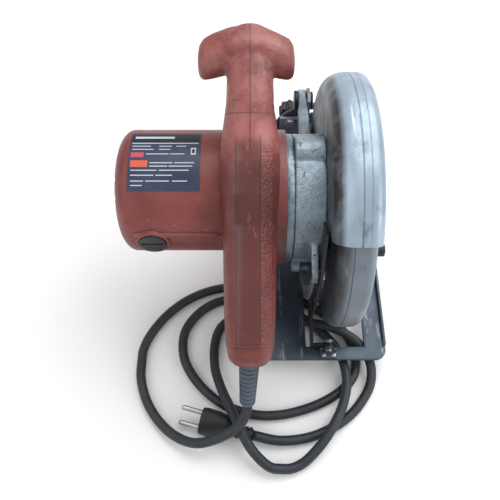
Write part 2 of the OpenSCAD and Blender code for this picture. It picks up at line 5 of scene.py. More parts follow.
import bmesh
import bpy
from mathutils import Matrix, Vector


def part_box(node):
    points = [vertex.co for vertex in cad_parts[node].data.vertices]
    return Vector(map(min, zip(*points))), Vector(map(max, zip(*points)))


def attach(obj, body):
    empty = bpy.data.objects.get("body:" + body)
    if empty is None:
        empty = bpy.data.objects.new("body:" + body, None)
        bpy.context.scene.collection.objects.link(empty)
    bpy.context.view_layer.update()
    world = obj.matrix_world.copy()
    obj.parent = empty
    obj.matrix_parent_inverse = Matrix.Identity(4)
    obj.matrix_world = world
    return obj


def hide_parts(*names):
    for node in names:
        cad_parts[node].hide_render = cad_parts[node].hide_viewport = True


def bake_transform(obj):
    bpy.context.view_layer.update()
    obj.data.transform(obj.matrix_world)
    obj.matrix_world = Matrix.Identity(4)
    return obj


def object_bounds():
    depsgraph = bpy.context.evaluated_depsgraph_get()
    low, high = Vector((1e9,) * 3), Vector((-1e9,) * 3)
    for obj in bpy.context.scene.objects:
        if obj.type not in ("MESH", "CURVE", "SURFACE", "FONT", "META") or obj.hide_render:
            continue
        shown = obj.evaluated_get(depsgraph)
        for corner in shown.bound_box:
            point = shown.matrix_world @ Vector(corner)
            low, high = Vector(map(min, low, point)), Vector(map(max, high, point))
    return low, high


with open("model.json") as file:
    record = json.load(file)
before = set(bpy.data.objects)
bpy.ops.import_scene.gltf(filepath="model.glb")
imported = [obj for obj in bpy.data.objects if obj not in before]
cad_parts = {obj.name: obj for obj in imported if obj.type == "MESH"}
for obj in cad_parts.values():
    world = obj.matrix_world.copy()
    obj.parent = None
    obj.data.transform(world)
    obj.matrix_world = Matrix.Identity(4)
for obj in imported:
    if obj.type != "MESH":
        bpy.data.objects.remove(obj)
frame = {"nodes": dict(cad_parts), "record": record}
CAD_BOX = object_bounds()
NODES = frame["nodes"]

# The row frame's offset from the design's own centre lines: X of the handle's middle plane, and
# Y of the arbor.
HANDLE_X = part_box("handle_left")[1][0]
ARBOR_Y = (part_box("arbor_bearing")[0][1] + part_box("arbor_bearing")[1][1]) / 2
ARBOR_Z = (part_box("arbor_bearing")[0][2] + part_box("arbor_bearing")[1][2]) / 2
MOTOR_Y = (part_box("commutator")[0][1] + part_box("commutator")[1][1]) / 2
MOTOR_Z = (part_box("commutator")[0][2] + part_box("commutator")[1][2]) / 2


# ---- Materials ----
class Nodes:
    """A small wrapper to build one material's node tree."""

    def __init__(self, name, rough, metal=0.0, spec=0.5):
        self.mat = bpy.data.materials.new(name)
        self.mat.use_nodes = True
        self.tree = self.mat.node_tree
        self.bsdf = self.tree.nodes["Principled BSDF"]
        self.bsdf.inputs["Roughness"].default_value = rough
        self.bsdf.inputs["Metallic"].default_value = metal
        self.bsdf.inputs["Specular IOR Level"].default_value = spec
        self.coord = self.tree.nodes.new("ShaderNodeTexCoord").outputs["Object"]

    def link(self, a, b):
        self.tree.links.new(a, b)

    def noise(self, scale, detail=4.0, rough=0.55, stretch=(1, 1, 1)):
        mapping = self.tree.nodes.new("ShaderNodeMapping")
        mapping.inputs["Scale"].default_value = stretch
        self.link(self.coord, mapping.inputs["Vector"])
        n = self.tree.nodes.new("ShaderNodeTexNoise")
        n.inputs["Scale"].default_value = scale
        n.inputs["Detail"].default_value = detail
        n.inputs["Roughness"].default_value = rough
        self.link(mapping.outputs[0], n.inputs["Vector"])
        return n.outputs["Fac"]

    def voronoi(self, scale, stretch=(1, 1, 1)):
        mapping = self.tree.nodes.new("ShaderNodeMapping")
        mapping.inputs["Scale"].default_value = stretch
        self.link(self.coord, mapping.inputs["Vector"])
        n = self.tree.nodes.new("ShaderNodeTexVoronoi")
        n.inputs["Scale"].default_value = scale
        self.link(mapping.outputs[0], n.inputs["Vector"])
        return n.outputs["Distance"]

    def axis(self, index):
        parts = self.tree.nodes.new("ShaderNodeSeparateXYZ")
        self.link(self.coord, parts.inputs[0])
        return parts.outputs[index]

    def along(self, *direction):
        d = self.tree.nodes.new("ShaderNodeVectorMath")
        d.operation = "DOT_PRODUCT"
        d.inputs[1].default_value = direction
        self.link(self.coord, d.inputs[0])
        return d.outputs["Value"]

    def math(self, kind, a, b=0.0):
        m = self.tree.nodes.new("ShaderNodeMath")
        m.operation = kind
        m.use_clamp = kind in ("MULTIPLY", "ADD")
        for socket, value in ((m.inputs[0], a), (m.inputs[1], b)):
            if isinstance(value, bpy.types.NodeSocket):
                self.link(value, socket)
            else:
                socket.default_value = value
        return m.outputs[0]

    def within(self, value, low, high, soft):
        """1 between low and high, falling to 0 over soft on each side."""
        out = []
        for edge, sign in ((low, 1), (high, -1)):
            r = self.tree.nodes.new("ShaderNodeMapRange")
            r.inputs["From Min"].default_value = edge - sign * soft
            r.inputs["From Max"].default_value = edge
            self.link(value, r.inputs["Value"])
            out.append(r.outputs[0])
        return self.math("MULTIPLY", *out)

    def ramp(self, fac, stops):
        r = self.tree.nodes.new("ShaderNodeValToRGB")
        r.color_ramp.elements[0].position = stops[0][0]
        r.color_ramp.elements[0].color = (*stops[0][1], 1)
        r.color_ramp.elements[1].position = stops[1][0]
        r.color_ramp.elements[1].color = (*stops[1][1], 1)
        for place, color in stops[2:]:
            r.color_ramp.elements.new(place).color = (*color, 1)
        self.link(fac, r.inputs["Fac"])
        return r.outputs["Color"]

    def mix(self, fac, a, b):
        m = self.tree.nodes.new("ShaderNodeMix")
        m.data_type = "RGBA"
        for socket, value in ((m.inputs[0], fac), (m.inputs[6], a), (m.inputs[7], b)):
            if isinstance(value, bpy.types.NodeSocket):
                self.link(value, socket)
            elif isinstance(value, (int, float)):
                socket.default_value = value
            else:
                socket.default_value = (*value, 1)
        return m.outputs[2]

    def color(self, value):
        self.link(value, self.bsdf.inputs["Base Color"])
        return self

    def rough(self, fac, low, high):
        r = self.tree.nodes.new("ShaderNodeMapRange")
        r.inputs["To Min"].default_value = low
        r.inputs["To Max"].default_value = high
        self.link(fac, r.inputs["Value"])
        self.link(r.outputs[0], self.bsdf.inputs["Roughness"])
        return self

    def bump(self, *layers):
        """Each layer is a height socket, a strength and a depth in metres."""
        last = None
        for height, strength, depth in layers:
            b = self.tree.nodes.new("ShaderNodeBump")
            b.inputs["Strength"].default_value = strength
            b.inputs["Distance"].default_value = depth
            self.link(height, b.inputs["Height"])
            if last:
                self.link(last, b.inputs["Normal"])
            last = b.outputs["Normal"]
        self.link(last, self.bsdf.inputs["Normal"])
        return self


BLACK, WHITE = (0, 0, 0), (1, 1, 1)


def band(n, fac, low, high):
    """A mask that is black under low and white over high."""
    return n.ramp(fac, [(low, BLACK), (high, WHITE)])


def worn_red(name, dark, pale_tone, rough, dirt):
    """Sun-bleached moulded plastic with fine grain, scuffs and dark oily smudges."""
    n = Nodes(name, rough)
    base = n.ramp(n.noise(26, 6), [(0.3, dark), (0.72, pale_tone)])
    scuffs = band(n, n.noise(120, 8, 0.7, (1, 0.4, 1)), 0.6, 0.74)
    base = n.mix(scuffs, base, tuple(min(1, c * 1.35 + 0.04) for c in pale_tone))
    smudge = band(n, n.noise(17, 7, 0.68), 1 - dirt, 1.16 - dirt)
    base = n.mix(smudge, base, (0.045, 0.028, 0.027))
    specks = band(n, n.noise(340, 3), 0.68, 0.76)
    n.color(n.mix(specks, base, (0.08, 0.04, 0.04)))
    n.rough(n.noise(40, 5), rough - 0.12, rough + 0.16)
    n.bump((n.noise(900, 2), 0.25, 0.0004), (n.noise(60, 6), 0.2, 0.0008))
    return n.mat


def grip_red(name):
    """The worn grip: a rubbed smooth strip down its back, a stippled one beside it, painted light with
    some fading on its top, darker patches along its rear and sooty smudges on top.
    """
    n = Nodes(name, 0.42)
    x, y, z = n.axis(0), n.axis(1), n.axis(2)
    base = n.ramp(n.noise(24, 7, 0.6), [(0.3, (0.14, 0.026, 0.023)), (0.7, (0.28, 0.07, 0.062))])
    # Painted light: the top of the grip, above z 0.19, is lightened in patches as where light falls from
    # above, with some sun fading.
    pale_tone = n.math("MULTIPLY", n.within(z, 0.19, 0.3, 0.02), band(n, n.noise(32, 8, 0.7), 0.4, 0.66))
    base = n.mix(pale_tone, base, (0.38, 0.14, 0.132))
    # Darker in patches along the rear of the grip, between Y -0.16 and -0.045.
    rear_dark_patches = n.math("MULTIPLY", n.within(y, -0.16, -0.045, 0.02),
                    band(n, n.noise(20, 6, 0.6), 0.28, 0.7))
    base = n.mix(rear_dark_patches, base, (0.075, 0.02, 0.018))
    smudge = band(n, n.noise(19, 8, 0.72), 0.6, 0.76)
    base = n.mix(smudge, base, (0.05, 0.03, 0.03))
    soot = n.math("MULTIPLY", n.within(z, 0.2, 0.3, 0.012), band(n, n.noise(44, 8, 0.75), 0.56, 0.68))
    base = n.mix(soot, base, (0.06, 0.04, 0.042))
    strip = n.math("MULTIPLY", n.within(x, HANDLE_X - 0.009, HANDLE_X + 0.006, 0.001),
                   n.within(y, -0.135, -0.03, 0.006))
    base = n.mix(n.math("MULTIPLY", strip, 0.6), base, (0.085, 0.026, 0.025))
    stipple = n.math("MULTIPLY", n.within(x, HANDLE_X + 0.0075, HANDLE_X + 0.0155, 0.0006),
                     n.within(y, -0.13, -0.03, 0.006))
    for edge in (-0.0095, 0.0068):
        line = n.math("MULTIPLY", n.within(x, HANDLE_X + edge - 0.0003, HANDLE_X + edge + 0.0003, 0.0004),
                      n.within(y, -0.135, -0.03, 0.008))
        base = n.mix(n.math("MULTIPLY", line, 0.75), base, (0.05, 0.02, 0.02))
    seam = n.math("MULTIPLY", n.within(x, HANDLE_X - 0.0002, HANDLE_X + 0.0002, 0.0004),
                  n.within(y, -0.03, 0.2, 0.004))
    base = n.mix(n.math("MULTIPLY", seam, 0.7), base, (0.04, 0.018, 0.018))
    for place, weight in ((-0.1062, 0.55), (0.0505, 0.5), (0.0532, 0.6)):
        line = n.math("MULTIPLY", n.within(n.along(0, -0.829, -0.559), place - 0.0002, place + 0.0002,
                                           0.0005), n.within(x, -0.03, 0.01, 0.004))
        base = n.mix(n.math("MULTIPLY", line, weight), base, (0.04, 0.016, 0.016))
    scuffs = band(n, n.noise(130, 8, 0.72, (1, 0.3, 1)), 0.6, 0.72)
    base = n.mix(n.math("MULTIPLY", scuffs, 0.6), base, (0.42, 0.18, 0.17))
    specks = band(n, n.noise(380, 3), 0.68, 0.76)
    n.color(n.mix(specks, base, (0.07, 0.035, 0.035)))
    smooth = n.math("MULTIPLY", strip, 0.2)
    wear = n.math("ADD", n.math("MULTIPLY", n.noise(40, 5), 0.3), 0.3)
    n.link(n.math("SUBTRACT", wear, smooth), n.bsdf.inputs["Roughness"])
    dots = n.math("MULTIPLY", stipple, n.voronoi(620))
    n.bump((n.noise(800, 2), 0.2, 0.0004), (n.noise(60, 6), 0.25, 0.0009), (dots, 0.9, 0.0012))
    return n.mat


def cast_metal(name, dark, light, rough, pits, metal=0.55):
    """Sand-cast aluminium, pitted and stained."""
    n = Nodes(name, rough, metal)
    base = n.ramp(n.noise(34, 8, 0.65), [(0.3, dark), (0.7, light)])
    stain = band(n, n.noise(60, 8, 0.7), 0.58, 0.7)
    base = n.mix(stain, base, tuple(c * 0.45 for c in dark))
    pit = band(n, n.noise(260, 4, 0.6), 0.62, 0.7)
    n.color(n.mix(pit, base, tuple(c * 0.3 for c in dark)))
    n.rough(n.noise(90, 5), rough - 0.1, rough + 0.2)
    n.bump((n.noise(420, 5), pits, 0.0007), (n.noise(110, 6), pits * 0.8, 0.0012))
    return n.mat


def guard_metal(name, dark, light, rough, shade_until_x):
    """Smooth cast guard with painted shade in patches on its left side up to the given x, long faint
    scratches and grey smears.
    """
    n = Nodes(name, rough, 0.45)
    base = n.ramp(n.noise(14, 6, 0.6), [(0.28, dark), (0.66, light)])
    # Painted shade: the guard is darkened in patches on its left side, where it faces away from the
    # light.
    left_side_shade = n.math("MULTIPLY", n.within(n.axis(0), 0, shade_until_x, 0.004),
                   band(n, n.noise(30, 7, 0.65), 0.2, 0.55))
    base = n.mix(left_side_shade, base, (0.05, 0.053, 0.054))
    lip = band(n, n.noise(90, 8, 0.72, (1, 0.3, 0.3)), 0.6, 0.7)
    base = n.mix(n.math("MULTIPLY", lip, 0.6), base, (0.12, 0.13, 0.135))
    smear = band(n, n.noise(38, 8, 0.72, (1, 0.5, 0.5)), 0.56, 0.72)
    base = n.mix(smear, base, tuple(c * 0.55 for c in dark))
    scratch = band(n, n.noise(240, 3, 0.5, (1, 0.05, 0.05)), 0.67, 0.72)
    base = n.mix(scratch, base, (0.65, 0.72, 0.78))
    n.color(base)
    n.rough(n.noise(50, 6), rough - 0.1, rough + 0.18)
    n.bump((n.noise(500, 4), 0.18, 0.0004), (n.noise(70, 6), 0.25, 0.0012))
    return n.mat


def worn_steel(name, dark, bare, rough, wear=0.62):
    """Painted or blackened steel, scratched through to bright metal."""
    n = Nodes(name, rough, 0.5)
    base = n.ramp(n.noise(30, 7, 0.62), [(0.3, dark), (0.75, tuple(c * 1.7 + 0.01 for c in dark))])
    scratch = band(n, n.noise(95, 8, 0.75, (1, 0.16, 1)), wear, wear + 0.08)
    base = n.mix(scratch, base, bare)
    rust = band(n, n.noise(75, 7, 0.7), 0.66, 0.74)
    n.color(n.mix(rust, base, (0.09, 0.06, 0.045)))
    n.rough(n.noise(80, 5), rough - 0.14, rough + 0.18)
    n.bump((n.noise(300, 5), 0.15, 0.0005))
    return n.mat


def machined(name, tint, rough, along=(1, 1, 1)):
    """Turned or ground steel with fine lines."""
    n = Nodes(name, rough, 0.95)
    n.color(n.ramp(n.noise(40, 6), [(0.3, tuple(c * 0.6 for c in tint)), (0.7, tint)]))
    n.rough(n.noise(200, 4, 0.5, along), rough - 0.08, rough + 0.15)
    n.bump((n.noise(500, 3, 0.5, along), 0.1, 0.0002))
    return n.mat


def moulded(name, tint, rough, grain=0.2):
    """Dark plastic or rubber with dust in its grain."""
    n = Nodes(name, rough)
    base = n.ramp(n.noise(50, 6), [(0.3, tint), (0.8, tuple(c * 1.8 + 0.006 for c in tint))])
    dust = band(n, n.noise(130, 8, 0.7), 0.62, 0.78)
    n.color(n.mix(dust, base, tuple(c * 2.2 + 0.03 for c in tint)))
    n.rough(n.noise(70, 4), rough - 0.1, rough + 0.15)
    n.bump((n.noise(700, 3), grain, 0.0003))
    return n.mat


def plain_print(name, tint, rough=0.4):
    """Printed ink, slightly rubbed."""
    n = Nodes(name, rough)
    rub = band(n, n.noise(300, 5, 0.7), 0.6, 0.75)
    n.color(n.mix(rub, tint, tuple(c * 0.6 for c in tint)))
    return n.mat


def floor_mat():
    n = Nodes("floor", 0.9, 0.0, 0.1)
    n.color(n.ramp(n.noise(3, 2), [(0.3, (0.9, 0.9, 0.9)), (0.7, (0.93, 0.93, 0.93))]))
    return n.mat


M = {
    "grip": grip_red("worn_grip"),
    "housing": worn_red("worn_housing", (0.14, 0.027, 0.024), (0.27, 0.064, 0.058), 0.42, 0.38),
    "cast": cast_metal("cast_case", (0.12, 0.155, 0.185), (0.38, 0.47, 0.54), 0.36, 0.8),
    "guard": guard_metal("cast_guard", (0.21, 0.27, 0.33), (0.4, 0.5, 0.6), 0.38, 0.0505),
    "lower": guard_metal("smooth_guard", (0.12, 0.145, 0.165), (0.24, 0.285, 0.33), 0.34, 0.056),
    "shoe": worn_steel("shoe_steel", (0.035, 0.048, 0.066), (0.26, 0.3, 0.35), 0.4, 0.56),
    "bracket": worn_steel("bracket_steel", (0.16, 0.17, 0.19), (0.5, 0.52, 0.54), 0.45),
    "black_steel": worn_steel("black_steel", (0.014, 0.016, 0.02), (0.1, 0.11, 0.12), 0.4, 0.68),
    "bright": machined("bright_steel", (0.55, 0.57, 0.6), 0.3),
    "blade": machined("blade_steel", (0.6, 0.61, 0.62), 0.28, (1, 0.08, 0.08)),
    "copper": machined("copper_wire", (0.7, 0.33, 0.14), 0.35, (1, 0.1, 0.1)),
    "carbon": moulded("carbon", (0.03, 0.03, 0.032), 0.6),
    "lamination": machined("laminated_iron", (0.3, 0.31, 0.33), 0.4, (6, 0.2, 0.2)),
    "black": moulded("black_plastic", (0.012, 0.012, 0.014), 0.5),
    "cord": moulded("cord_rubber", (0.012, 0.016, 0.021), 0.5, 0.3),
    "plug": moulded("plug_rubber", (0.008, 0.01, 0.011), 0.48, 0.25),
    "relief": moulded("relief_rubber", (0.05, 0.07, 0.09), 0.55, 0.25),
    "wire": moulded("lead_wire", (0.02, 0.03, 0.15), 0.35),
    "label": moulded("label_foil", (0.016, 0.026, 0.06), 0.34, 0.05),
    "header": plain_print("label_header", (0.006, 0.008, 0.016), 0.3),
    "white": plain_print("label_white", (0.55, 0.58, 0.62)),
    "pink": plain_print("label_pink", (0.5, 0.06, 0.1)),
    "orange": plain_print("label_orange", (0.6, 0.1, 0.05)),
}

LOOKS = {
    "grip": ["handle_left", "handle_right"],
    "housing": ["motor_housing"],
    "cast": ["gear_case", "bearing_plate"],
    "guard": ["upper_guard"],
    "lower": ["lower_guard"],
    "shoe": ["shoe_plate", "bevel_quadrant", "rear_hinge_lug", "fence_clamp_block"],
    "bracket": ["front_bracket"],
    "black_steel": ["depth_arc", "fence_clamp_screw", "pivot_screw", "depth_lever", "handle_screws"],
    "bright": ["shoe_rivets", "bevel_pins", "bevel_bolt", "motor_bearings", "armature_shaft",
               "gear_case_screws", "arbor_bearing", "arbor_shaft", "drive_gear", "inner_flange",
               "outer_flange", "blade_bolt", "guard_spring", "depth_bolt", "trigger_spring",
               "plug_pins"],
    "blade": ["blade"],
    "copper": ["brush_holders", "field_windings", "commutator", "arbor_bush"],
    "carbon": ["carbon_brushes"],
    "lamination": ["stator_core", "armature_core"],
    "black": ["bevel_knob", "brush_caps", "cooling_fan", "guard_lever", "trigger", "switch_body",
              "cord_clamp"],
    "cord": ["power_cord"],
    "plug": ["plug_body", "plug_relief"],
    "relief": ["strain_relief"],
    "wire": ["switch_leads"],
    "label": ["rating_label"],
}
LOOK_OF = {node: look for look, nodes in LOOKS.items() for node in nodes}
BODY_OF = {n: b for b, nodes in frame["record"]["behaviour"]["bodies"].items() for n in nodes}

for node, obj in NODES.items():
    obj.data.materials.clear()
    obj.data.materials.append(M[LOOK_OF[node]])


# ---- Mesh helpers ----
# An edge that turns by more than this many degrees is rounded on the small parts.
SHARP_ANGLE = 34


def new_object(name, mesh, look, smooth=True):
    obj = bpy.data.objects.new(name, mesh)
    bpy.context.collection.objects.link(obj)
    mesh.materials.clear()
    mesh.materials.append(M[look])
    if smooth:
        for p in mesh.polygons:
            p.use_smooth = True
    return obj


def apply_modifiers(obj):
    graph = bpy.context.evaluated_depsgraph_get()
    mesh = bpy.data.meshes.new_from_object(obj.evaluated_get(graph))
    obj.modifiers.clear()
    obj.data = mesh
    return obj


def stand_for(obj, node):
    """obj takes the place of a CAD node: it rides on the node's body and the node is hidden."""
    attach(obj, BODY_OF[node])
    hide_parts(node)
    return obj


def clean_copy(node):
    mesh = NODES[node].data.copy()
    bm = bmesh.new()
    bm.from_mesh(mesh)
    bmesh.ops.remove_doubles(bm, verts=bm.verts, dist=1e-6)
    bm.to_mesh(mesh)
    bm.free()
    return mesh


def wear_round(obj, voxel, rounds):
    """Remeshes obj evenly and wears its edges round."""
    remesh = obj.modifiers.new("remesh", "REMESH")
    remesh.mode = "VOXEL"
    remesh.voxel_size = voxel
    smooth = obj.modifiers.new("smooth", "SMOOTH")
    smooth.factor = 0.5
    smooth.iterations = rounds
    return apply_modifiers(obj)


def soft_copy(node, voxel, rounds):
    """The node's own shape with its edges worn round."""
    obj = new_object(node + "_shell", clean_copy(node), LOOK_OF[node])
    wear_round(obj, voxel, rounds)
    for p in obj.data.polygons:
        p.use_smooth = True
    return stand_for(obj, node)


def bevelled_copy(node, width):
    """The node's own shape with small rounded edges."""
    mesh = clean_copy(node)
    bm = bmesh.new()
    bm.from_mesh(mesh)
    bmesh.ops.dissolve_limit(bm, angle_limit=math.radians(0.5), verts=bm.verts, edges=bm.edges)
    bm.to_mesh(mesh)
    bm.free()
    obj = new_object(node + "_edged", mesh, LOOK_OF[node])
    bevel = obj.modifiers.new("bevel", "BEVEL")
    bevel.width = width
    bevel.segments = 2
    bevel.limit_method = "ANGLE"
    bevel.angle_limit = math.radians(SHARP_ANGLE)
    bevel.harden_normals = True
    apply_modifiers(obj)
    return stand_for(obj, node)


def mesh_from(name, verts, faces, look, smooth=True):
    mesh = bpy.data.meshes.new(name)
    mesh.from_pydata([tuple(v) for v in verts], [], faces)
    mesh.validate()
    mesh.update()
    return new_object(name, mesh, look, smooth)


def turned_point(centre, r, x, angle):
    """angle is in degrees from the rear, upward, about an axis along X through centre = (y, z)."""
    a = math.radians(angle)
    return Vector((x, centre[0] - r * math.cos(a), centre[1] + r * math.sin(a)))


def tube_mesh(name, points, radius, look, sides=16):
    """A closed round tube along points."""
    pts = [Vector(p) for p in points]
    verts, faces = [], []
    normal = None
    for i, p in enumerate(pts):
        tangent = (pts[min(i + 1, len(pts) - 1)] - pts[max(i - 1, 0)]).normalized()
        if normal is None:
            normal = tangent.orthogonal().normalized()
        normal = (normal - tangent * normal.dot(tangent)).normalized()
        other = tangent.cross(normal)
        for k in range(sides):
            a = 2 * math.pi * k / sides
            verts.append(p + radius * (math.cos(a) * normal + math.sin(a) * other))
    for i in range(len(pts) - 1):
        for k in range(sides):
            j = (k + 1) % sides
            faces.append((i * sides + k, i * sides + j, (i + 1) * sides + j, (i + 1) * sides + k))
    faces.append(tuple(range(sides - 1, -1, -1)))
    faces.append(tuple(range((len(pts) - 1) * sides, len(pts) * sides)))
    return mesh_from(name, verts, faces, look)


def smooth_line(points, step):
    """Points a step apart along a Catmull-Rom curve through the given ones."""
    pts = [Vector(p) for p in points]
    ends = [2 * pts[0] - pts[1]] + pts + [2 * pts[-1] - pts[-2]]
    out = []
    for i in range(1, len(ends) - 2):
        p0, p1, p2, p3 = ends[i - 1:i + 3]
        count = max(2, round((p2 - p1).length / step))
        for k in range(count):
            t = k / count
            out.append(0.5 * ((2 * p1) + (p2 - p0) * t + (2 * p0 - 5 * p1 + 4 * p2 - p3) * t * t
                              + (3 * p1 - p0 - 3 * p2 + p3) * t ** 3))
    out.append(pts[-1])
    return out


# ---- Cord ----
CORD_D = 0.008
# The cord's way in metres, from the strain relief to the plug, about the design's centre lines.
ROUTE = [(-0.002, -0.148, 0.05), (-0.003, -0.1535, 0.0395), (-0.009, -0.161, 0.0305),
         (-0.023, -0.168, 0.0235), (-0.042, -0.171, 0.0155), (-0.06, -0.164, 0.008),
         (-0.076, -0.15, 0.0046), (-0.088, -0.131, 0.004), (-0.094, -0.108, 0.004),
         (-0.092, -0.084, 0.004), (-0.079, -0.061, 0.004), (-0.06, -0.043, 0.004),
         (-0.038, -0.032, 0.004), (-0.016, -0.028, 0.004), (0.008, -0.029, 0.004),
         (0.03, -0.034, 0.004), (0.05, -0.044, 0.004), (0.069, -0.056, 0.004),
         (0.083, -0.071, 0.004), (0.091, -0.089, 0.004), (0.091, -0.106, 0.004),
         (0.083, -0.12, 0.004), (0.067, -0.132, 0.004), (0.046, -0.141, 0.004),
         (0.023, -0.146, 0.004), (0, -0.145, 0.004), (-0.024, -0.136, 0.004),
         (-0.044, -0.119, 0.004), (-0.057, -0.097, 0.004), (-0.058, -0.073, 0.004),
         (-0.046, -0.054, 0.004), (-0.029, -0.043, 0.004), (-0.009, -0.04, 0.004),
         (0.012, -0.043, 0.004), (0.032, -0.05, 0.004), (0.049, -0.06, 0.004),
         (0.064, -0.073, 0.004), (0.075, -0.088, 0.0065), (0.08, -0.104, 0.0105),
         (0.081, -0.121, 0.0124), (0.077, -0.138, 0.0125), (0.069, -0.154, 0.0128),
         (0.056, -0.172, 0.0105), (0.039, -0.186, 0.005), (0.019, -0.189, 0.008),
         (0.003, -0.178, 0.0154), (-0.008, -0.161, 0.0212), (-0.016, -0.144, 0.0196),
         (-0.024, -0.126, 0.014), (-0.03, -0.106, 0.007), (-0.031, -0.085, 0.004),
         (-0.026, -0.068, 0.004), (-0.012, -0.058, 0.004), (0.008, -0.057, 0.004),
         (0.029, -0.061, 0.0068), (0.047, -0.065, 0.011), (0.064, -0.069, 0.0119),
         (0.082, -0.076, 0.0119), (0.096, -0.088, 0.0119), (0.103, -0.104, 0.01),
         (0.102, -0.12, 0.006), (0.094, -0.134, 0.004), (0.083, -0.146, 0.004),
         (0.068, -0.156, 0.004), (0.048, -0.164, 0.004), (0.024, -0.167, 0.006),
         (0.002, -0.1635, 0.0095)]
LINE_STEP = 0.004
# The design's centre lines in the frame: the handle's middle plane in X, the arbor in Y.
CENTRE_LINES = Vector((HANDLE_X, ARBOR_Y, 0))
route = [Vector(p) + CENTRE_LINES for p in ROUTE]
line = smooth_line(route, LINE_STEP)
# The smooth curve bulges a little past its points, so it is held above the CAD box's low sides in X and Y
# and on the floor.
low = [c + CORD_D / 2 for c in CAD_BOX[0]]
line = [Vector((max(p.x, low[0]), max(p.y, low[1]), max(p.z, CORD_D / 2))) for p in line]
flex = tube_mesh("flex_cord", line, CORD_D / 2, "cord")
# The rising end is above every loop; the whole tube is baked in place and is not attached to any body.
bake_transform(flex)
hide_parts("power_cord")


# ---- Shells ----
def split_soft_copy(left, right, x, voxel, rounds):
    """Two halves worn round as one skin, then parted at x so that only a fine seam shows."""
    bm = bmesh.new()
    for node in (left, right):
        bm.from_mesh(NODES[node].data)
    bmesh.ops.remove_doubles(bm, verts=bm.verts, dist=1e-6)
    mesh = bpy.data.meshes.new("whole")
    bm.to_mesh(mesh)
    bm.free()
    whole = wear_round(new_object("whole", mesh, LOOK_OF[left]), voxel, rounds)
    for node, side in ((left, 1), (right, -1)):
        bm = bmesh.new()
        bm.from_mesh(whole.data)
        cut = bmesh.ops.bisect_plane(bm, geom=bm.verts[:] + bm.edges[:] + bm.faces[:], dist=1e-7,
                                     plane_co=(x, 0, 0), plane_no=(side, 0, 0), clear_outer=True)
        rim = [e for e in cut["geom_cut"] if isinstance(e, bmesh.types.BMEdge)]
        for edge in rim:
            edge.smooth = False
        bmesh.ops.triangle_fill(bm, edges=rim, use_beauty=True, use_dissolve=False)
        bmesh.ops.recalc_face_normals(bm, faces=bm.faces)
        half = bpy.data.meshes.new(node + "_skin")
        bm.to_mesh(half)
        bm.free()
        stand_for(new_object(node + "_skin", half, LOOK_OF[node]), node)
    bpy.data.objects.remove(whole)


split_soft_copy("handle_left", "handle_right", HANDLE_X, 0.0011, 8)
soft_copy("gear_case", 0.001, 5)

EDGED = {"shoe_plate": 0.0008, "bevel_quadrant": 0.0005, "front_bracket": 0.0006,
         "depth_arc": 0.0004, "depth_lever": 0.0008, "fence_clamp_block": 0.0006,
         "fence_clamp_screw": 0.0005, "bevel_knob": 0.0006, "blade_bolt": 0.0005,
         "brush_caps": 0.0004, "trigger": 0.001, "guard_lever": 0.0006,
         "rear_hinge_lug": 0.0004, "pivot_screw": 0.0006, "motor_housing": 0.0006,
         "bearing_plate": 0.0005}
for node_name, edge in EDGED.items():
    bevelled_copy(node_name, edge)

# ---- Guards ----
GUARD_T = 0.0021
# Guard edges that turn by more than this many degrees are shown sharp.
CREASE_ANGLE = 40


def quarter(centre, axial, radial, side, steps=10):
    """A rounded shoulder as [radius, x] points; side is -1 on the left and 1 on the right."""
    out = []
    for i in range(steps + 1):
        a = math.pi / 2 * (i / steps if side < 0 else 1 - i / steps)
        out.append((centre[0] + radial * math.sin(a), centre[1] + side * axial * math.cos(a)))
    return out


def guard_profile(r, left, right, foot_left, foot_right, shoulder, corner, seams, inset):
    """Channel section: left foot, left shoulder, rim with fine seams, right corner, right foot."""
    r, left, right = r - inset, left + inset, right - inset
    axial, radial = shoulder[0] - inset, shoulder[1] - inset
    corner -= inset
    rim = []
    for x, half, depth in seams:
        if not inset:
            rim += [(r, x - half), (r - depth, x - half * 0.3), (r - depth, x + half * 0.3),
                    (r, x + half)]
    return ([(foot_left, left)] + quarter((r - radial, left + axial), axial, radial, -1) + rim
            + quarter((r - corner, right - corner), corner, corner, 1) + [(foot_right, right)])


def turned_shell(verts, faces, loop, start, sweep, steps):
    """Turns a closed loop of [radius, x] about the arbor, from start over sweep degrees."""
    first, k = len(verts), len(loop)
    closed = sweep >= 360
    for i in range(steps if closed else steps + 1):
        for radius, x in loop:
            verts.append(turned_point((ARBOR_Y, ARBOR_Z), radius, x + HANDLE_X,
                                      start + sweep * i / steps))
    rows = steps if closed else steps + 1
    for i in range(steps):
        a, b = first + i * k, first + ((i + 1) % rows) * k
        for j in range(k):
            n = (j + 1) % k
            faces.append((a + j, b + j, b + n, a + n))
    if not closed:
        faces.append(tuple(first + j for j in range(k)))
        faces.append(tuple(first + (rows - 1) * k + j for j in range(k - 1, -1, -1)))


def guard_shell(node, outer, inner, start, sweep, rings):
    """A turned channel, with flat rings about the arbor as (r low, r high, x low, x high)."""
    verts, faces = [], []
    turned_shell(verts, faces, outer + inner[::-1], start, sweep, round(sweep))
    for r0, r1, x0, x1 in rings:
        turned_shell(verts, faces, [(r0, x0), (r1, x0), (r1, x1), (r0, x1)], 0, 360, 96)
    obj = mesh_from(node + "_shell", verts, faces, LOOK_OF[node])
    bm = bmesh.new()
    bm.from_mesh(obj.data)
    bmesh.ops.recalc_face_normals(bm, faces=bm.faces)
    for edge in bm.edges:
        if len(edge.link_faces) == 2 and edge.calc_face_angle(0) > math.radians(CREASE_ANGLE):
            edge.smooth = False
    bm.to_mesh(obj.data)
    bm.free()
    return stand_for(obj, node)


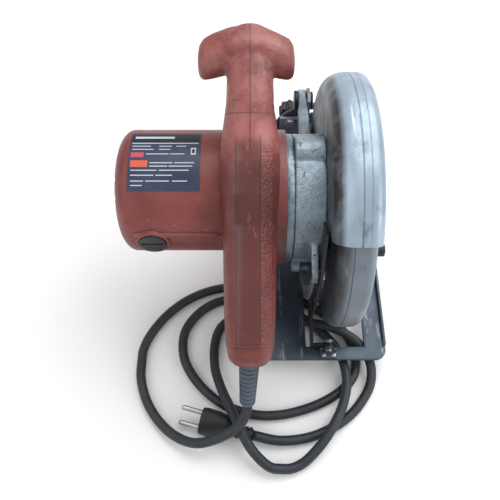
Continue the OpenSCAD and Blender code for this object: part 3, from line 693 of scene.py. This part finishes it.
# Radii from the arbor and X from the handle's middle plane, with seams as (x, half width, depth).
UPPER = {"r": 0.1035, "left": 0.055, "right": 0.0886, "foot_left": 0.038, "foot_right": 0.056,
         "shoulder": (0.016, 0.0135), "corner": 0.008,
         "seams": [(0.0732, 0.0006, 0.0007), (0.0787, 0.0004, 0.0003)]}
UPPER_RINGS = [(0.0262, 0.0409, 0.0552, 0.057)]
LOWER = {"r": 0.0985, "left": 0.060, "right": 0.086, "foot_left": 0.0405, "foot_right": 0.0405,
         "shoulder": (0.008, 0.009), "corner": 0.007, "seams": [(0.0695, 0.0005, 0.0006)]}
LOWER_RINGS = [(0.0222, 0.041, 0.060, 0.0622), (0.0222, 0.0254, 0.0622, 0.0646)]
for guard, section, start, sweep, rings in (("upper_guard", UPPER, 40, 160, UPPER_RINGS),
                                            ("lower_guard", LOWER, -165, 213, LOWER_RINGS)):
    guard_shell(guard, guard_profile(**section, inset=0), guard_profile(**section, inset=GUARD_T),
                start, sweep, rings)

# ---- Label ----
LABEL_LOW, LABEL_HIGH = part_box("rating_label")
# Angles about the motor, from the label's top edge to its bottom edge.
LABEL_A0, LABEL_A1 = 117.0, 54.0
# The outer face of the label's foil.
LABEL_R = 0.04655


def label_patch(name, u0, u1, v0, v1, look, lift):
    """A thin curved patch on the label. u runs left to right and v top to bottom, each 0 to 1."""
    width = LABEL_HIGH[0] - LABEL_LOW[0]
    verts, faces = [], []
    steps = max(2, round(24 * abs(v1 - v0)) + 1)
    for layer in (0, 1):
        for i in range(steps + 1):
            v = v0 + (v1 - v0) * i / steps
            angle = LABEL_A0 + (LABEL_A1 - LABEL_A0) * v
            for u in (u0, u1):
                verts.append(turned_point((MOTOR_Y, MOTOR_Z), LABEL_R + lift * layer,
                                          LABEL_LOW[0] + width * u, angle))
    row = 2 * (steps + 1)
    for i in range(steps):
        a = 2 * i
        faces.append((row + a, row + a + 1, row + a + 3, row + a + 2))
        faces.append((a, a + 2, a + 3, a + 1))
        faces.append((a, row + a, row + a + 2, a + 2))
        faces.append((a + 1, a + 3, row + a + 3, row + a + 1))
    faces.append((0, 1, row + 1, row))
    faces.append((row - 2, 2 * row - 2, 2 * row - 1, row - 1))
    obj = mesh_from(name, verts, faces, look, smooth=False)
    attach(obj, BODY_OF["rating_label"])
    return obj


PATCHES = {
    "header": (0.02, 0.98, 0.03, 0.24, "header", 0.00006),
    "rule": (0.03, 0.97, 0.26, 0.275, "white", 0.00008),
    "title": (0.06, 0.62, 0.11, 0.16, "white", 0.0001),
    "symbol": (0.87, 0.94, 0.36, 0.48, "white", 0.00008),
    "symbol_core": (0.885, 0.925, 0.385, 0.455, "header", 0.00012),
    "box_low": (0.03, 0.21, 0.44, 0.52, "pink", 0.00008),
    "box_high": (0.03, 0.27, 0.57, 0.67, "orange", 0.00008),
}
for patch, facts in PATCHES.items():
    label_patch("label_" + patch, *facts)

# Rows of print as bars: how far down each row is, then where its bars start and end.
BAR_HEIGHT = 0.013
BARS = [(0.32, (0.04, 0.3), (0.42, 0.6), (0.66, 0.8)), (0.38, (0.04, 0.34), (0.42, 0.58)),
        (0.46, (0.24, 0.56), (0.58, 0.78)), (0.6, (0.3, 0.62), (0.65, 0.92)),
        (0.65, (0.3, 0.55), (0.57, 0.9)), (0.71, (0.04, 0.4), (0.43, 0.85)),
        (0.78, (0.04, 0.36), (0.39, 0.62)), (0.86, (0.04, 0.22), (0.25, 0.58), (0.62, 0.83)),
        (0.92, (0.04, 0.2),)]
for row_index, (place, *spans) in enumerate(BARS):
    for span_index, (start, end) in enumerate(spans):
        label_patch(f"label_bar_{row_index}_{span_index}", start, end, place, place + BAR_HEIGHT,
                    "white", 0.00006)

# ---- Studio ----
# A little under the saw, so that the floor and the pieces that stand on it don't share a plane.
FLOOR_Z = -0.0004
bpy.ops.mesh.primitive_plane_add(size=6, location=(0, 0, FLOOR_Z))
floor = bpy.context.object
floor.name = "floor"
floor.data.materials.append(floor_mat())


def area_light(name, place, target, size, watts):
    data = bpy.data.lights.new(name, "AREA")
    data.energy = watts
    data.size = size
    obj = bpy.data.objects.new(name, data)
    bpy.context.collection.objects.link(obj)
    obj.location = place
    obj.rotation_euler = (Vector(target) - Vector(place)).to_track_quat("-Z", "Y").to_euler()


MIDDLE = (0, 0, 0.08)
area_light("key", place=(0.45, 0.5, 1.2), target=MIDDLE, size=1.2, watts=15)
area_light("fill", place=(-0.9, -0.5, 1.1), target=MIDDLE, size=1.2, watts=5)
area_light("side", place=(1.1, -0.5, 0.7), target=(0.05, 0, 0.1), size=0.7, watts=5)

world = bpy.data.worlds.new("studio")
bpy.context.scene.world = world
world.use_nodes = True
world.node_tree.nodes["Background"].inputs["Color"].default_value = (1, 1, 1, 1)
world.node_tree.nodes["Background"].inputs["Strength"].default_value = 0.55
bpy.context.scene.view_settings.view_transform = "Standard"

# The camera looks down from behind at 60 degrees, in the handle's middle plane.
camera_data = bpy.data.cameras.new("camera")
camera_data.lens = 42.5
camera_data.sensor_width = 36
camera_data.clip_start = 0.01
camera = bpy.data.objects.new("camera", camera_data)
bpy.context.collection.objects.link(camera)
CAMERA_PLACE = Vector((0, -0.272, 0.496)) + CENTRE_LINES
LOOK_DIRECTION = Vector((0, 0.5, -0.866))
camera.location = CAMERA_PLACE
camera.rotation_euler = LOOK_DIRECTION.to_track_quat("-Z", "Y").to_euler()
bpy.context.scene.camera = camera
